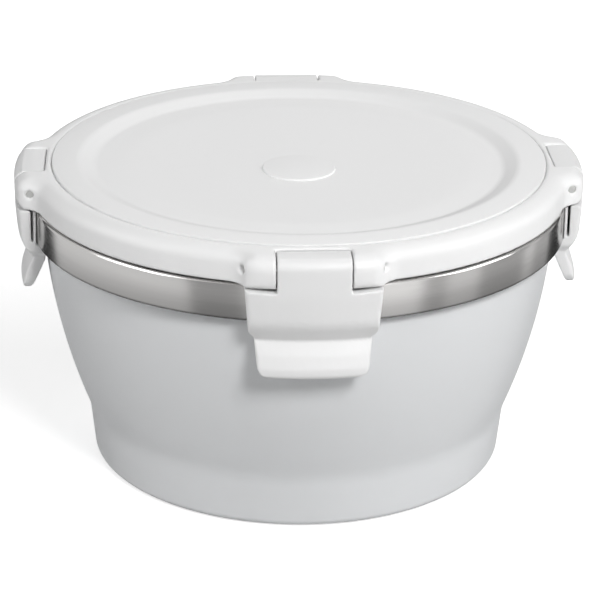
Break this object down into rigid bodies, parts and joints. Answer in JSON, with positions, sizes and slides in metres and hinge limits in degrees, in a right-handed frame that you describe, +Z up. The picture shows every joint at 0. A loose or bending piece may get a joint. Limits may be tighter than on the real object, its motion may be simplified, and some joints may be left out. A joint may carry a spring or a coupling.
{
  "type": "insulated bowl with lid",
  "caption": "Round double-walled steel food bowl, painted white outside, with a bare steel rim band and a clip-down plastic lid held by hinged latches.",
  "frame": {"origin": "middle of the base, on the surface it stands on", "axes": "+Z up along the bowl's axis, front latch towards -Y, right latch towards +X"},
  "size_m": [0.1752, 0.1752, 0.0953],
  "materials": {
    "brushed_steel": "brushed round the rim",
    "bare_steel": "satin",
    "white_paint": "satin white paint",
    "white_lid": "satin white moulding",
    "silicone": "soft matte",
    "pin_steel": "drawn wire",
    "seal_glass": "fused bead",
    "getter_metal": "sintered"
  },
  "bodies": {
    "bowl": {"inner_bowl": "brushed_steel", "outer_shell": "white_paint", "base_cover": "bare_steel", "vacuum_seal": "seal_glass", "getter": "getter_metal"},
    "lid": {"lid_frame": "white_lid", "lid_top_panel": "white_lid", "lid_inner_plate": "white_lid", "lid_gasket": "silicone", "pin_front": "pin_steel", "pin_right": "pin_steel", "pin_back": "pin_steel", "pin_left": "pin_steel"},
    "front_latch": {"latch_front": "white_lid", "latch_front_hook": "white_lid"},
    "right_latch": {"latch_right": "white_lid", "latch_right_hook": "white_lid"},
    "back_latch": {"latch_back": "white_lid", "latch_back_hook": "white_lid"},
    "left_latch": {"latch_left": "white_lid", "latch_left_hook": "white_lid"}
  },
  "joints": [
    {"name": "lid_lift", "type": "slide", "parent": "bowl", "child": "lid", "axis": [0, 0, 1], "range_m": [0, 0.12], "deforming": ["latch_front_hook", "latch_right_hook", "latch_back_hook", "latch_left_hook"]},
    {"name": "front_latch_hinge", "type": "hinge", "parent": "lid", "child": "front_latch", "pos_m": [0, -0.082, 0.0906], "axis": [-1, 0, 0], "range_deg": [0, 95]},
    {"name": "right_latch_hinge", "type": "hinge", "parent": "lid", "child": "right_latch", "pos_m": [0.082, 0, 0.0906], "axis": [0, -1, 0], "range_deg": [0, 95]},
    {"name": "back_latch_hinge", "type": "hinge", "parent": "lid", "child": "back_latch", "pos_m": [0, 0.082, 0.0906], "axis": [1, 0, 0], "range_deg": [0, 95]},
    {"name": "left_latch_hinge", "type": "hinge", "parent": "lid", "child": "left_latch", "pos_m": [-0.082, 0, 0.0906], "axis": [0, 1, 0], "range_deg": [0, 95]}
  ]
}
